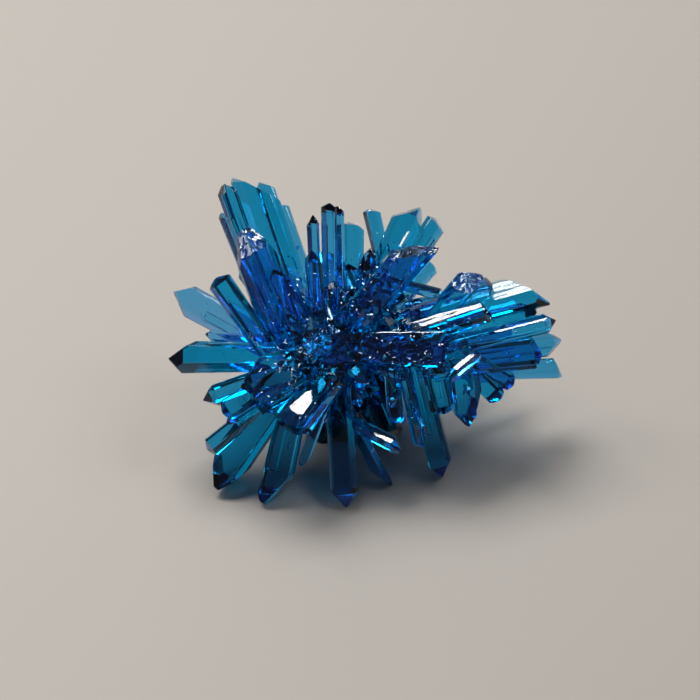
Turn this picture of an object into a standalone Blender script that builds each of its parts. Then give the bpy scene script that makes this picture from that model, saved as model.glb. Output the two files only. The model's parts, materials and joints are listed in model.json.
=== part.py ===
"""Pentagonite crystal cluster: one loose spray of flat-faced blue blades, grown together.

The blades stand out from a few growth centres.  Each one is a flattened eight-sided prism that is
closed by sloping tip faces.  All of them are joined into one closed solid, which rests on the tips of
its lowest blades and on the flat scar where it came away from the rock.

Blades are placed in the cluster's own display frame, in millimetres: u to the right, v up along its
showy side and w out of it.  That side leans back, so its outward direction rises DISPLAY_TILT
degrees above the horizontal.
"""

import math
import random

import bmesh
import bpy
from mathutils import Vector

NODE_NAME = "crystal_cluster"
MILLIMETRE = 0.001

# ---- driving dimensions (millimetres and degrees) ----
DISPLAY_TILT = 40.0
CENTRE_HEIGHT = 4.1      # display frame's origin above the plane that the cluster rests on
ROOT_TAPER = 0.85        # a blade's size at its root, as a share of its size below the tip
FACING_LIMIT = 0.35      # a blade that points closer than this to the viewer is rolled about the vertical
ROCK_SIZE = 40.0         # block that the scar is cut with
MERGE_DISTANCE = 0.001   # corners closer than this are one

# Where the slanted long faces end, as shares of half the thickness and of half the width
FRONT_SHARES = ((0.05, 0.45), (0.35, 0.75))
BACK_SHARES = ((0.30, 0.85), (0.60, 0.92))
BACK_LEAN = 0.75         # depth of the back's left half, as a share of its right half

# Growth centres, and the rounded lumps of intergrown crystal around them: centre, radii
MAIN = (-1.1, -0.3, 0.0)
WING = (2.3, -0.2, -0.2)
REAR = (0.2, 0.9, -1.6)
FOOT = (-0.4, -1.4, -1.8)
LUMPS = (
    (MAIN, (1.4, 1.4, 1.3)),
    (WING, (1.5, 0.8, 0.8)),
    (REAR, (2.0, 1.2, 1.2)),
    (FOOT, (1.5, 1.2, 1.2)),
)

# Tip forms: slope of the left, right, front and back tip face, in degrees from a square end; how far
# the left and right faces turn to the front, in degrees; and where the peak lies across the thickness,
# from -1 at the back to 1 at the front
TIPS = {
    "dome": (52, 46, 36, 10, 15, -0.6),
    "point": (52, 52, 56, 50, 0, 0.0),
    "hexagon": (41, 60, 50, 60, 0, 0.10),
    "spire": (60, 60, 66, 50, 0, 0.3),
    "shoulder": (30, 42, 66, 50, 0, 0.3),
    "bevel": (52, 50, 48, 12, 20, -0.4),
    "left_low": (46, 62, 34, 14, 20, -0.6),
    "right_high": (26, 60, 30, 14, 15, -0.5),
    "lean_right": (40, 60, 46, 12, 10, -0.3),
    "long_left": (68, 52, 34, 14, 20, -0.5),
    "long_right": (52, 68, 34, 14, 20, -0.5),
    "blunt": (24, 30, 20, 8, 25, -0.7),
    "steep": (64, 64, 40, 40, 0, 0.0),
}

# Broken ends: how far the fracture leans to the blade's left and to its front, in degrees
BREAKS = {
    "break_steep": (8, 40),
    "break_slant": (34, 14),
    "break_end": (-8, 22),
    "break_wing": (28, 36),
}
BREAK_FACES = 4          # faces of a broken tip
BREAK_TURN = 25          # how unevenly they stand round the blade, in degrees
BREAK_SLOPE = (10, 24)   # how much each one slopes, in degrees
BREAK_STEP = 0.06        # how far they lie apart along the blade
SHOULDER_SLOPE = 67      # flats at both sides of the steepest fracture, in degrees from a square end
SHOULDER_PLACE = 0.22    # their distance from the middle, as a share of the blade's width
SLOPE_SPREAD = 3         # how unevenly the tip faces of a whole blade slope, in degrees

# Blades: root, tip, width, thickness, roll, tip form, sideways shift of the peak (share of half width)
BLADES = {
    # tall bundle, upper left
    "tall_main": ((-2.15, 0.45, -0.6), (-4.26, 6.30, -2.0), 1.55, 0.92, 8, "dome", -0.75),
    "tall_left": ((-3.15, 0.35, -0.4), (-5.10, 5.84, -1.7), 0.66, 0.70, 30, "bevel", 0.20),
    "tall_low": ((-3.15, 0.00, -0.5), (-5.10, 4.84, -1.9), 0.60, 0.60, 20, "bevel", -0.30),
    "tall_back": ((-1.85, 0.40, -0.9), (-3.76, 6.02, -2.5), 0.70, 0.60, 0, "dome", -0.40),
    "tall_right": ((-1.30, 0.10, -0.9), (-3.08, 5.12, -2.4), 0.52, 0.50, -5, "blunt", -0.20),
    # broken blade in front of it, and its dark neighbour
    "broken_left": ((-2.65, -0.40, 0.2), (-4.12, 3.80, 0.9), 1.60, 0.95, 14, "break_steep", 0.0),
    "dark_left": ((-1.85, -0.40, 0.5), (-3.12, 2.70, 1.1), 0.95, 0.80, 172, "dome", 0.20),
    # left side, from top to bottom
    "left_blunt": ((-3.00, -0.90, 0.5), (-5.28, 2.36, 1.1), 0.90, 0.95, 188, "blunt", 0.20),
    "left_pale": ((-2.40, -0.65, -0.6), (-6.92, 1.84, -0.8), 1.20, 0.34, 5, "dome", 0.05),
    "left_small": ((-2.60, -0.10, -0.3), (-5.75, 0.28, -0.3), 0.45, 0.35, 0, "point", 0.20),
    "left_stout": ((-3.00, -0.50, 0.2), (-7.03, -0.50, 0.1), 1.22, 1.30, 4, "hexagon", -0.10),
    "left_under": ((-3.00, -1.00, 0.2), (-5.80, -2.05, 0.2), 0.80, 0.70, 190, "point", 0.0),
    "left_lower": ((-2.40, -0.90, 0.5), (-5.05, -2.55, 0.7), 0.95, 0.90, 184, "blunt", 0.0),
    "left_behind": ((-2.20, -0.40, -0.8), (-4.55, 3.00, -1.9), 0.80, 0.60, 0, "dome", 0.0),
    # fan towards the lower left
    "fan_first": ((-2.50, -1.30, 0.2), (-5.66, -3.84, 0.1), 0.74, 0.66, 20, "blunt", 0.30),
    "fan_top": ((-3.50, -1.70, 0.35), (-4.95, -2.78, 0.83), 0.50, 0.45, 38, "bevel", 0.0),
    "fan_second": ((-2.75, -1.40, 0.1), (-5.40, -5.14, -0.2), 1.42, 1.15, 192, "long_right", 0.30),
    "fan_third": ((-2.40, -1.60, 0.3), (-3.32, -5.80, 0.45), 1.20, 0.95, 198, "lean_right", -0.35),
    "fan_inner": ((-1.10, -1.20, -0.5), (-2.35, -4.50, -0.8), 0.52, 0.45, 0, "steep", 0.0),
    # lowest blades, under the middle
    "foot_front": ((-0.95, -1.60, 0.2), (-0.68, -5.86, 0.60), 1.05, 0.95, 188, "point", 0.0),
    "foot_side": ((-0.75, -2.20, 0.0), (0.80, -5.22, -0.2), 0.55, 0.50, 20, "long_right", -0.40),
    "foot_right": ((-0.90, -2.60, 0.1), (1.28, -3.72, 1.2), 0.58, 0.45, -31, "bevel", 0.10),
    # blades under the right wing
    "drop_dark": ((0.90, -0.60, 0.3), (1.10, -2.85, 0.7), 0.62, 0.55, 15, "blunt", 0.0),
    "drop_main": ((1.80, -0.60, -0.2), (2.84, -4.82, -0.6), 0.92, 0.90, 190, "point", -0.10),
    "drop_left": ((1.35, -0.70, 0.0), (2.08, -3.82, -0.3), 0.60, 0.55, 35, "long_left", 0.20),
    "drop_broad": ((3.35, -0.10, 0.3), (3.75, -3.02, 0.75), 1.24, 1.05, 182, "long_right", -0.10),
    "drop_cap": ((3.98, -0.42, 0.95), (2.94, -1.28, 1.50), 0.46, 0.45, 36, "bevel", 0.0),
    "drop_scale": ((3.20, -1.25, 0.50), (3.90, -1.90, 1.18), 0.26, 0.30, -18, "bevel", 0.0),
    "drop_needle": ((1.55, -2.00, 0.0), (2.16, -3.16, 0.95), 0.20, 0.25, -10, "bevel", 0.0),
    "drop_chip": ((1.20, -1.50, 0.62), (0.90, -2.25, 1.13), 0.26, 0.28, 24, "bevel", 0.0),
    "drop_stub": ((3.00, -0.20, -0.5), (4.85, -2.00, -0.8), 0.75, 0.95, 185, "blunt", 0.0),
    "drop_lump": ((3.20, -0.20, -0.5), (5.35, -1.45, -0.6), 0.70, 0.90, 190, "blunt", 0.0),
    # right wing
    "wing_top": ((1.20, 0.58, -0.2), (6.42, 2.06, 0.1), 1.60, 0.85, -40, "left_low", 0.75),
    "wing_cover": ((1.40, 0.85, 0.3), (4.55, 2.06, 0.45), 0.72, 0.60, 5, "blunt", 0.0),
    "wing_middle": ((1.50, 0.10, -0.4), (6.15, 1.15, -0.3), 0.85, 0.85, 184, "dome", 0.0),
    "wing_low": ((1.60, -0.50, 0.4), (6.80, 0.80, 0.5), 0.72, 0.66, 8, "point", 0.0),
    "wing_dark": ((1.95, -0.80, -0.1), (6.30, -0.30, 0.0), 1.22, 0.95, 186, "blunt", -0.10),
    "wing_back": ((2.30, -0.70, -1.0), (7.18, 0.02, -1.5), 0.88, 0.50, 0, "bevel", -0.20),
    "wing_last": ((2.30, -1.05, -1.1), (7.20, -0.90, -1.7), 0.76, 0.50, 0, "right_high", 0.80),
    "wing_front": ((0.35, -0.10, 0.6), (4.40, 1.22, 1.0), 0.80, 0.70, -42, "blunt", 0.20),
    "wing_broken": ((2.05, 0.40, 0.1), (3.72, 2.26, 0.75), 0.90, 0.86, 10, "break_wing", -0.10),
    # large blade to the upper right, and the upright pair beside it
    "broken_right": ((-1.20, -0.20, 0.4), (2.05, 3.62, 1.0), 1.30, 0.90, 10, "break_slant", 0.50),
    "twin_left": ((-1.22, 0.00, 0.3), (-1.30, 5.00, 0.3), 0.56, 0.52, 8, "shoulder", 0.10),
    "twin_right": ((-0.85, 0.00, 0.1), (-0.97, 4.90, 0.1), 0.44, 0.48, 12, "shoulder", -0.20),
    "upright_small": ((-1.70, 0.40, -0.1), (-1.88, 4.60, -0.1), 0.46, 0.50, 10, "spire", 0.0),
    "upright_dark": ((-1.55, -0.20, 0.6), (-1.90, 3.34, 1.0), 0.62, 0.62, 190, "spire", 0.0),
    # group behind, upper right
    "rear_left": ((0.90, 1.90, -1.7), (0.20, 4.98, -2.2), 0.66, 0.80, 0, "blunt", -0.20),
    "rear_round": ((-0.50, 0.80, -1.0), (-0.50, 4.45, -1.6), 1.00, 0.70, 20, "blunt", 0.0),
    "rear_main": ((0.35, 1.90, -1.1), (1.85, 5.12, -1.8), 1.22, 1.05, 2, "left_low", 0.40),
    "rear_sliver": ((1.28, 3.42, -0.82), (1.76, 4.27, -1.38), 0.20, 0.25, -29, "bevel", 0.0),
    "rear_right": ((0.80, 1.70, -1.3), (2.72, 4.55, -1.9), 0.85, 0.85, -10, "blunt", -0.40),
    "rear_side": ((1.00, 1.20, -1.5), (2.55, 2.92, -2.1), 0.62, 0.55, 0, "blunt", 0.0),
    "rear_strip": ((0.60, 2.30, -0.9), (2.78, 1.72, -0.9), 0.46, 0.40, 25, "blunt", 0.0),
    "rear_fill": ((0.60, 0.90, -1.0), (2.90, 1.35, -1.4), 1.00, 0.80, 10, "blunt", 0.0),
    "rear_point": ((-0.20, 0.80, 0.0), (0.20, 3.42, -0.1), 0.70, 0.60, 5, "point", 0.0),
    # blades that stand out of the showy side
    "front_low": ((-1.10, -0.70, 0.4), (-2.90, -3.05, 1.9), 1.90, 1.30, 190, "blunt", 0.10),
    "front_left": ((-1.60, -0.50, 0.4), (-4.55, -1.50, 1.5), 1.60, 1.20, 176, "dome", 0.10),
    "front_between": ((-1.20, -0.50, 0.4), (-3.95, -2.15, 2.0), 1.40, 1.10, 202, "blunt", 0.0),
    "front_right": ((-0.90, -0.20, 0.6), (3.05, -0.25, 1.5), 1.35, 1.10, 162, "blunt", 0.0),
    "front_broken": ((-1.60, 0.80, 0.3), (-1.70, -0.05, 2.9), 1.10, 0.95, 10, "break_end", 0.0),
    "front_needle": ((-1.45, 1.60, 0.5), (-1.10, 0.68, 1.35), 0.16, 0.20, -3, "bevel", 0.0),
    # far side
    "far_top_left": ((-1.80, 0.50, -1.0), (-3.40, 2.90, -4.2), 1.10, 0.75, 20, "dome", 0.20),
    "far_top": ((-0.60, 0.80, -1.2), (-1.40, 3.60, -4.4), 0.85, 0.65, -15, "bevel", -0.30),
    "far_top_right": ((0.60, 0.90, -1.4), (1.20, 3.00, -4.7), 1.15, 0.70, 35, "dome", 0.10),
    "far_left": ((-2.00, 0.00, -0.8), (-5.00, 0.90, -3.4), 1.00, 0.60, 10, "long_left", 0.20),
    "far_middle_left": ((-1.40, 0.20, -1.2), (-2.80, 0.80, -5.0), 1.20, 0.85, 0, "point", 0.0),
    "far_middle": ((-0.40, 0.20, -1.4), (-0.50, 1.30, -5.5), 0.90, 0.80, 25, "bevel", 0.10),
    "far_middle_right": ((0.80, 0.10, -1.4), (1.90, 0.90, -5.1), 1.25, 0.80, -20, "point", 0.20),
    "far_right": ((1.60, 0.00, -0.9), (4.20, 1.10, -3.7), 1.05, 0.60, 15, "long_right", -0.20),
    "far_wing": ((2.00, -0.20, -0.8), (5.60, 0.20, -2.8), 0.80, 0.55, 0, "dome", 0.0),
    "far_low_left": ((-1.60, -0.80, -1.2), (-3.60, -1.10, -3.9), 0.95, 0.70, 30, "bevel", 0.0),
    "far_low": ((-0.40, -1.00, -1.6), (-0.90, -0.90, -5.2), 1.00, 0.80, 10, "dome", -0.20),
    "far_low_right": ((0.80, -0.90, -1.4), (2.60, -0.90, -4.5), 0.90, 0.70, -25, "bevel", 0.20),
    # stout blades under the middle, cut off flat where the cluster came away from the rock
    "scar_left": ((-0.40, -1.00, -1.6), (-1.80, -3.70, -2.7), 1.40, 1.10, 20, "blunt", 0.0),
    "scar_front": ((-0.40, -1.00, -1.5), (-0.40, -3.80, -2.7), 1.50, 1.20, 0, "blunt", 0.0),
    "scar_right": ((-0.40, -1.00, -1.6), (0.90, -3.60, -2.8), 1.40, 1.10, 40, "blunt", 0.0),
    "scar_rear_left": ((-0.50, -1.00, -1.8), (-1.20, -2.90, -3.9), 1.40, 1.20, 10, "blunt", 0.0),
    "scar_deep": ((0.10, -1.00, -1.0), (1.05, -3.30, -1.6), 1.20, 1.00, 25, "blunt", 0.0),
    "scar_rear": ((-0.40, -1.00, -1.8), (0.20, -2.80, -4.0), 1.50, 1.20, 30, "blunt", 0.0),
    # fills the gap under the right wing
    "drop_back": ((2.45, -0.50, -0.7), (2.90, -2.55, -0.8), 0.90, 0.80, 185, "blunt", 0.0),
}

# Small blades that crowd round the growth centres
SMALL_SEED = 11
SMALL_BLADES = (
    (MAIN, 1.5, 54),
    (WING, 0.9, 12),
    (REAR, 1.55, 20),
    (FOOT, 1.4, 10),
)
SMALL_REACH = (0.35, 1.35)
SMALL_WIDTH = (0.45, 0.90)
SMALL_THICKNESS = 0.8    # share of the width
SMALL_ROOT = 0.3         # depth of its root, as a share of the lump's radius


def display_to_world(point):
    """A point of the display frame, in millimetres, as world millimetres above the resting plane."""
    u, v, w = point
    tilt = math.radians(DISPLAY_TILT)
    y = v * math.sin(tilt) - w * math.cos(tilt)
    z = v * math.cos(tilt) + w * math.sin(tilt)
    return Vector((u, y, z + CENTRE_HEIGHT))


def outward_direction():
    """World direction that the showy side faces."""
    tilt = math.radians(DISPLAY_TILT)
    return Vector((0.0, -math.cos(tilt), math.sin(tilt)))


def blade_axes(root, tip, roll):
    """Unit vectors along a blade, across its broad face and out of that face."""
    along = (tip - root).normalized()
    face = outward_direction()
    face = face - along * face.dot(along)
    if face.length < FACING_LIMIT:
        face = Vector((0.0, 0.0, 1.0)) - along * along.z
    face.normalize()
    side = along.cross(face)
    turn = math.radians(roll)
    turned_face = face * math.cos(turn) + side * math.sin(turn)
    return along, along.cross(turned_face), turned_face


def blade_section(width, thickness, rng):
    """Flattened eight-sided outline of a blade, a little uneven as grown crystals are."""
    corners = []
    for side_sign, face_sign in ((1, 1), (-1, 1), (-1, -1), (1, -1)):
        edge_range, flat_range = FRONT_SHARES if face_sign > 0 else BACK_SHARES
        depth = face_sign * thickness / 2
        if side_sign < 0 and face_sign < 0:
            depth *= BACK_LEAN
        edge = (side_sign * width / 2, depth * rng.uniform(*edge_range))
        flat = (side_sign * width / 2 * rng.uniform(*flat_range), depth)
        corners.extend((edge, flat) if side_sign == face_sign else (flat, edge))
    return corners


def add_prism(bm, root, tip, axes, outline, overshoot):
    """Add a tapered prism from root to past the tip."""
    along, side, face = axes
    rings = []
    for centre, scale in ((root, ROOT_TAPER), (tip + along * overshoot, 1.0)):
        ring = [bm.verts.new(centre + side * (s * scale) + face * (f * scale)) for s, f in outline]
        rings.append(ring)
    lower, upper = rings
    count = len(outline)
    for index in range(count):
        following = (index + 1) % count
        bm.faces.new((lower[index], lower[following], upper[following], upper[index]))
    bm.faces.new(list(reversed(lower)))
    bm.faces.new(upper)


def cut_away(bm, point, normal):
    """Remove what lies beyond a plane and close the cut with a flat face."""
    geometry = bm.verts[:] + bm.edges[:] + bm.faces[:]
    cut = bmesh.ops.bisect_plane(
        bm, geom=geometry, dist=1e-5, plane_co=point, plane_no=normal, clear_outer=True)
    edges = [item for item in cut["geom_cut"] if isinstance(item, bmesh.types.BMEdge)]
    if len(edges) > 2:
        bmesh.ops.edgenet_fill(bm, edges=edges)


def break_planes(tip, peak, axes, width, form, rng):
    """Planes of a broken end: (point, outward normal) for each face of the fracture."""
    along, side, face = axes
    lean, tilt = (math.tan(math.radians(angle)) for angle in BREAKS[form])
    planes = []
    for index in range(BREAK_FACES):
        turn = math.radians(360 * index / BREAK_FACES + rng.uniform(-BREAK_TURN, BREAK_TURN))
        slope = math.radians(rng.uniform(*BREAK_SLOPE))
        outward = side * math.cos(turn) + face * math.sin(turn)
        normal = along * math.cos(slope) + outward * math.sin(slope)
        normal = (normal - side * lean).normalized()
        normal = (normal + face * tilt).normalized()
        planes.append((peak - along * rng.uniform(0.0, BREAK_STEP), normal))
    if form == "break_steep":
        slope = math.radians(SHOULDER_SLOPE)
        for sign in (-1, 1):
            normal = along * math.cos(slope) + side * (sign * math.sin(slope))
            planes.append((tip + side * (sign * width * SHOULDER_PLACE), normal))
    return planes


def tip_planes(tip, axes, width, thickness, form, shift, rng):
    """Planes that close a blade: (point, outward normal) for each tip face."""
    along, side, face = axes
    peak = tip + side * (shift * width / 2)
    if form in BREAKS:
        return break_planes(tip, peak, axes, width, form, rng)
    left, right, front, back, splay, depth = TIPS[form]
    peak += face * (depth * thickness / 2)
    lean = face * math.tan(math.radians(splay))
    planes = []
    for direction, slope in ((lean - side, left), (lean + side, right), (face, front), (-face, back)):
        angle = math.radians(slope + rng.uniform(-SLOPE_SPREAD, SLOPE_SPREAD))
        planes.append((peak, along * math.cos(angle) + direction.normalized() * math.sin(angle)))
    return planes


def add_blade(target, root, tip, width, thickness, roll, form, shift, rng):
    """Add one closed blade to the target mesh."""
    axes = blade_axes(root, tip, roll)
    bm = bmesh.new()
    add_prism(bm, root, tip, axes, blade_section(width, thickness, rng), width)
    for point, normal in tip_planes(tip, axes, width, thickness, form, shift, rng):
        cut_away(bm, point, normal)
    bmesh.ops.recalc_face_normals(bm, faces=bm.faces[:])
    append_mesh(target, bm)


def append_mesh(target, source):
    """Copy the source's faces into the target, and free the source."""
    copies = {vertex: target.verts.new(vertex.co) for vertex in source.verts}
    for face in source.faces:
        target.faces.new([copies[vertex] for vertex in face.verts])
    source.free()


def add_lump(target, centre, radii):
    """Add a rounded lump of intergrown crystal."""
    bm = bmesh.new()
    bmesh.ops.create_icosphere(bm, subdivisions=2, radius=1.0)
    for vertex in bm.verts:
        offset = [component * radius for component, radius in zip(vertex.co, radii)]
        vertex.co = display_to_world([base + step for base, step in zip(centre, offset)])
    bmesh.ops.recalc_face_normals(bm, faces=bm.faces[:])
    append_mesh(target, bm)


def random_direction(rng):
    """Even random unit vector."""
    height = rng.uniform(-1, 1)
    turn = rng.uniform(0, 2 * math.pi)
    flat = math.sqrt(1 - height * height)
    return Vector((flat * math.cos(turn), flat * math.sin(turn), height))


def add_small_blades(target, rng):
    """Add the small blades that stand out of the lumps in every free direction."""
    for centre, lump_radius, count in SMALL_BLADES:
        for _ in range(count):
            direction = random_direction(rng)
            reach = lump_radius + rng.uniform(*SMALL_REACH)
            width = rng.uniform(*SMALL_WIDTH)
            roll = rng.uniform(0, 90)
            root = Vector(centre) + direction * (lump_radius * SMALL_ROOT)
            tip = display_to_world(Vector(centre) + direction * reach)
            if tip.z < width:
                continue
            add_blade(target, display_to_world(root), tip, width, width * SMALL_THICKNESS,
                      roll, "point", 0.0, rng)


def make_object(name, bm):
    """Link a new object that holds the mesh."""
    mesh = bpy.data.meshes.new(name)
    bm.to_mesh(mesh)
    bm.free()
    made = bpy.data.objects.new(name, mesh)
    bpy.context.scene.collection.objects.link(made)
    return made


def add_boolean(base, other, operation):
    """Join the other object to the base, or cut it away."""
    modifier = base.modifiers.new(operation.lower(), "BOOLEAN")
    modifier.operation = operation
    modifier.solver = "EXACT"
    modifier.use_self = operation == "UNION"
    modifier.object = other


def make_rock():
    """Block that stands for the rock below the resting plane."""
    bm = bmesh.new()
    bmesh.ops.create_cube(bm, size=ROCK_SIZE)
    bmesh.ops.translate(bm, verts=bm.verts[:], vec=(0.0, 0.0, -ROCK_SIZE / 2))
    return make_object("rock", bm)


def connected_shells(bm):
    """Lists of faces, one list for each connected shell."""
    waiting = set(bm.faces)
    shells = []
    while waiting:
        front = [waiting.pop()]
        shell = list(front)
        while front:
            for edge in front.pop().edges:
                for neighbour in edge.link_faces:
                    if neighbour in waiting:
                        waiting.remove(neighbour)
                        shell.append(neighbour)
                        front.append(neighbour)
        shells.append(shell)
    return shells


def keep_outer_shell(bm):
    """Delete every shell but the largest, which fills the sealed pockets between the blades."""
    shells = sorted(connected_shells(bm), key=len)
    for shell in shells[:-1]:
        bmesh.ops.delete(bm, geom=shell, context="FACES")


def crystal_material():
    """Clear deep blue crystal."""
    material = bpy.data.materials.new("pentagonite_blue")
    material.use_nodes = True
    shader = material.node_tree.nodes["Principled BSDF"]
    shader.inputs["Base Color"].default_value = (0.02, 0.22, 0.42, 1.0)
    shader.inputs["Roughness"].default_value = 0.05
    shader.inputs["Metallic"].default_value = 0.0
    shader.inputs["IOR"].default_value = 1.54
    shader.inputs["Transmission Weight"].default_value = 0.6
    return material


def all_blades():
    """Every blade and lump but the first, not yet joined."""
    rng = random.Random(SMALL_SEED)
    blades = bmesh.new()
    for root, tip, width, thickness, roll, form, shift in BLADES.values():
        add_blade(blades, display_to_world(root), display_to_world(tip),
                  width, thickness, roll, form, shift, rng)
    add_small_blades(blades, rng)
    for centre, radii in LUMPS[1:]:
        add_lump(blades, centre, radii)
    return make_object("blades", blades)


def joined_cluster():
    """The first lump with all blades joined to it and the scar cut, in millimetres."""
    lump = bmesh.new()
    add_lump(lump, *LUMPS[0])
    core = make_object("core", lump)
    blades = all_blades()
    rock = make_rock()
    add_boolean(core, blades, "UNION")
    add_boolean(core, rock, "DIFFERENCE")
    evaluated = core.evaluated_get(bpy.context.evaluated_depsgraph_get())
    cluster = bmesh.new()
    cluster.from_mesh(evaluated.to_mesh())
    for helper in (core, blades, rock):
        bpy.data.objects.remove(helper, do_unlink=True)
    return cluster


def centre_in_metres(bm):
    """Move the middle of the bounding box to the origin, and turn millimetres into metres."""
    xs = [vertex.co.x for vertex in bm.verts]
    ys = [vertex.co.y for vertex in bm.verts]
    middle = Vector(((min(xs) + max(xs)) / 2, (min(ys) + max(ys)) / 2, 0.0))
    for vertex in bm.verts:
        vertex.co = (vertex.co - middle) * MILLIMETRE


def main():
    for existing in list(bpy.data.objects):
        bpy.data.objects.remove(existing, do_unlink=True)

    cluster = joined_cluster()
    bmesh.ops.remove_doubles(cluster, verts=cluster.verts[:], dist=MERGE_DISTANCE)
    keep_outer_shell(cluster)
    bmesh.ops.triangulate(cluster, faces=cluster.faces[:])
    centre_in_metres(cluster)
    result = make_object(NODE_NAME, cluster)
    result.data.materials.append(crystal_material())


main()
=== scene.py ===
import json
import math
import random

import bmesh
import bpy
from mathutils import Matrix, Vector
from mathutils.bvhtree import BVHTree

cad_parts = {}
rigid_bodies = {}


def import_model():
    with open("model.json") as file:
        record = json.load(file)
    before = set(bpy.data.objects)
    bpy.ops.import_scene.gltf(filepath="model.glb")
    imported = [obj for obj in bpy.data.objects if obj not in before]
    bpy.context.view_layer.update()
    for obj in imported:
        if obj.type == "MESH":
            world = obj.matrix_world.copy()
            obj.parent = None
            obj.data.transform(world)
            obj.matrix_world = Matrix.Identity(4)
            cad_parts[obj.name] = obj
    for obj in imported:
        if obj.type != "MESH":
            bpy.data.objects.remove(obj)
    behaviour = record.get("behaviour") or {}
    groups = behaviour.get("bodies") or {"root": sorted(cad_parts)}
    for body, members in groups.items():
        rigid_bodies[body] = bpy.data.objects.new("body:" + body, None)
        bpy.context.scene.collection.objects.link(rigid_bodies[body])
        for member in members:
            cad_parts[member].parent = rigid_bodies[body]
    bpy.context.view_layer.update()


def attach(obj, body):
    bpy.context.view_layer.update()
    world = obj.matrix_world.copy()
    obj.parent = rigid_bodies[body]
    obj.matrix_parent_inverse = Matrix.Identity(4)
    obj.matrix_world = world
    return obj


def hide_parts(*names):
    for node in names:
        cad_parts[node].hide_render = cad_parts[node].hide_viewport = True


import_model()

NODE_NAME = "crystal_cluster"
BODY_NAME = "root"
GRAIN_LAYER = "grain"    # UV layer that holds millimetres across and along each blade
MILLIMETRE = 0.001

# ---- driving dimensions (millimetres and degrees), the same as the frame's ----
DISPLAY_TILT = 40.0
CENTRE_HEIGHT = 4.1      # display frame's origin above the plane that the cluster rests on
ROOT_TAPER = 0.85        # a blade's size at its root, as a share of its size below the tip
FACING_LIMIT = 0.35      # a blade that points closer to the viewer is rolled about the vertical
ROCK_SIZE = 40.0         # block that the scar is cut with

# Where the slanted long faces end, as shares of half the thickness and of half the width
FRONT_SHARES = ((0.05, 0.45), (0.35, 0.75))
BACK_SHARES = ((0.30, 0.85), (0.60, 0.92))
BACK_LEAN = 0.75         # depth of the back's left half, as a share of its right half

# Growth centres, and the rounded lumps of intergrown crystal around them: centre, radii
MAIN = (-1.1, -0.3, 0.0)
WING = (2.3, -0.2, -0.2)
REAR = (0.2, 0.9, -1.6)
FOOT = (-0.4, -1.4, -1.8)
LUMPS = (
    (MAIN, (1.4, 1.4, 1.3)),
    (WING, (1.5, 0.8, 0.8)),
    (REAR, (2.0, 1.2, 1.2)),
    (FOOT, (1.5, 1.2, 1.2)),
)

# Tip forms: slope of the left, right, front and back tip face, in degrees from a square end;
# how far the left and right faces turn to the front, in degrees; and where the peak lies across
# the thickness, from -1 at the back to 1 at the front
TIPS = {
    "dome": (52, 46, 36, 10, 15, -0.6),
    "point": (52, 52, 56, 50, 0, 0.0),
    "hexagon": (41, 60, 50, 60, 0, 0.10),
    "spire": (60, 60, 66, 50, 0, 0.3),
    "shoulder": (30, 42, 66, 50, 0, 0.3),
    "bevel": (52, 50, 48, 12, 20, -0.4),
    "left_low": (46, 62, 34, 14, 20, -0.6),
    "right_high": (26, 60, 30, 14, 15, -0.5),
    "lean_right": (40, 60, 46, 12, 10, -0.3),
    "long_left": (68, 52, 34, 14, 20, -0.5),
    "long_right": (52, 68, 34, 14, 20, -0.5),
    "blunt": (24, 30, 20, 8, 25, -0.7),
    "steep": (64, 64, 40, 40, 0, 0.0),
}

# Broken ends: how far the fracture leans to the blade's left and to its front, in degrees
BREAKS = {
    "break_steep": (8, 40),
    "break_slant": (34, 14),
    "break_end": (-8, 22),
    "break_wing": (28, 36),
}
BREAK_FACES = 4          # faces of a broken tip
BREAK_TURN = 25          # how unevenly they stand round the blade, in degrees
BREAK_SLOPE = (10, 24)   # how much each one slopes, in degrees
BREAK_STEP = 0.06        # how far they lie apart along the blade
SHOULDER_SLOPE = 67      # flats beside the steepest fracture, in degrees from a square end
SHOULDER_PLACE = 0.22    # their distance from the middle, as a share of the blade's width
SLOPE_SPREAD = 3         # how unevenly the tip faces of a whole blade slope, in degrees

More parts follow.
